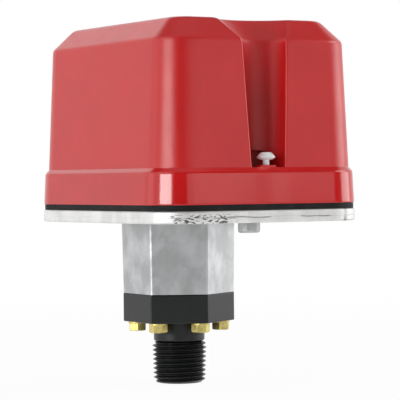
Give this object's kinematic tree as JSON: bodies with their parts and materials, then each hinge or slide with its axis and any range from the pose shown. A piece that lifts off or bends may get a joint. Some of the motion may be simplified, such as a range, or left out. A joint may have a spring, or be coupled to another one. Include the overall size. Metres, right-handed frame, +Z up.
{
  "type": "pressure supervisory switch",
  "caption": "Pressure switch with a red moulded cover on a cast base, a hex spring housing, a threaded pipe fitting and snap switches worked by a spring-loaded diaphragm.",
  "frame": {"origin": "centre of the pressure port at the lower end of the pipe thread", "axes": "+Z up along the pressure axis, away from the pipe; +X along the enclosure towards its longer overhang"},
  "size_m": [0.1113, 0.0914, 0.1419],
  "materials": {
    "cover_red": "moulded red plastic, satin",
    "gasket_rubber": "flat black rubber sheet",
    "cast_metal": "die-cast light alloy, as cast",
    "fitting_plastic": "black glass-filled plastic",
    "diaphragm_rubber": "moulded rubber",
    "brass": "machined brass",
    "steel": "bright steel",
    "plated_steel": "zinc-plated steel",
    "ground_green": "green painted screw",
    "aluminium": "turned aluminium",
    "nylon": "natural nylon",
    "insulator": "fibre sheet",
    "switch_plastic": "black thermoset moulding",
    "plunger_plastic": "red plastic plunger"
  },
  "bodies": {
    "base": {"base_casting": "cast_metal", "cover_gasket": "gasket_rubber", "pressure_fitting": "fitting_plastic", "diaphragm": "diaphragm_rubber", "flange_screws": "brass", "conduit_knockout": "plated_steel", "ground_screw": "ground_green", "ground_clamp": "brass", "thrust_washer": "nylon", "range_spring": "steel", "switch_bracket": "plated_steel", "bracket_screws": "plated_steel", "switch_bolts": "plated_steel", "switch_nuts": "plated_steel", "switch_insulators": "insulator", "switch_a_case": "switch_plastic", "switch_a_cover": "switch_plastic", "switch_a_terminals": "brass", "switch_a_clamps": "plated_steel", "switch_a_terminal_screws": "plated_steel", "switch_b_case": "switch_plastic", "switch_b_cover": "switch_plastic", "switch_b_terminals": "brass", "switch_b_clamps": "plated_steel", "switch_b_terminal_screws": "plated_steel"},
    "cover": {"cover": "cover_red"},
    "ring_right": {"screw_retainer_right": "nylon"},
    "screw_right": {"cover_screw_right": "plated_steel"},
    "ring_left": {"screw_retainer_left": "nylon"},
    "screw_left": {"cover_screw_left": "plated_steel"},
    "piston": {"piston": "aluminium", "push_rod": "steel", "rod_nut": "plated_steel", "trip_yoke": "plated_steel", "trip_screws": "steel", "trip_locknuts": "brass"},
    "seat": {"spring_seat": "plated_steel"},
    "wheel": {"adjusting_wheel": "brass", "wheel_retaining_ring": "steel"},
    "plunger_a": {"switch_a_plunger": "plunger_plastic"},
    "plunger_b": {"switch_b_plunger": "plunger_plastic"},
    "blade_a": {"switch_a_blade": "brass"},
    "blade_b": {"switch_b_blade": "brass"}
  },
  "joints": [
    {"name": "cover_lift", "type": "slide", "parent": "base", "child": "cover", "axis": [0, 0, 1], "range_m": [0, 0.075]},
    {"name": "screw_right_rise", "type": "slide", "parent": "cover", "child": "ring_right", "axis": [0, 0, 1], "range_m": [-0.0014, 0.0033]},
    {"name": "screw_right_turn", "type": "hinge", "parent": "ring_right", "child": "screw_right", "pos_m": [0.065, 0, 0.0856], "axis": [0, 0, 1], "range_deg": [-795.7, 1872.9]},
    {"name": "screw_left_rise", "type": "slide", "parent": "cover", "child": "ring_left", "axis": [0, 0, 1], "range_m": [-0.0014, 0.0033]},
    {"name": "screw_left_turn", "type": "hinge", "parent": "ring_left", "child": "screw_left", "pos_m": [-0.0372, 0, 0.0856], "axis": [0, 0, 1], "range_deg": [-795.7, 1872.9]},
    {"name": "piston_lift", "type": "slide", "parent": "base", "child": "piston", "axis": [0, 0, 1], "range_m": [0, 0.0015], "stiffness_N_per_m": 2000, "springref_m": -0.001, "deforming": ["range_spring", "diaphragm"]},
    {"name": "wheel_turn", "type": "hinge", "parent": "base", "child": "wheel", "pos_m": [0, 0, 0.0708], "axis": [0, 0, 1], "range_deg": [-602, 602]},
    {"name": "seat_slide", "type": "slide", "parent": "base", "child": "seat", "axis": [0, 0, 1], "range_m": [-0.0025, 0.0025], "deforming": ["range_spring"]},
    {"name": "plunger_a_press", "type": "slide", "parent": "base", "child": "plunger_a", "axis": [0, 0, 1], "range_m": [0, 0.00151]},
    {"name": "blade_a_throw", "type": "hinge", "parent": "base", "child": "blade_a", "pos_m": [-0.0035, -0.0099, 0.0982], "axis": [0, -1, 0], "range_deg": [0, 2.01]},
    {"name": "plunger_b_press", "type": "slide", "parent": "base", "child": "plunger_b", "axis": [0, 0, 1], "range_m": [0, 0.00151]},
    {"name": "blade_b_throw", "type": "hinge", "parent": "base", "child": "blade_b", "pos_m": [-0.0035, 0.0099, 0.0982], "axis": [0, -1, 0], "range_deg": [0, 2.01]}
  ],
  "couplings": [
    {"joint": "screw_right_turn", "follows": "screw_right_rise", "rad_per_m": 9894.8},
    {"joint": "screw_left_turn", "follows": "screw_left_rise", "rad_per_m": 9894.8},
    {"joint": "wheel_turn", "follows": "seat_slide", "rad_per_m": -4188.8},
    {"joint": "plunger_a_press", "follows": "piston_lift", "ratio": 1},
    {"joint": "blade_a_throw", "follows": "piston_lift", "rad_per_m": 23.271},
    {"joint": "plunger_b_press", "follows": "piston_lift", "ratio": 1},
    {"joint": "blade_b_throw", "follows": "piston_lift", "rad_per_m": 23.271}
  ]
}
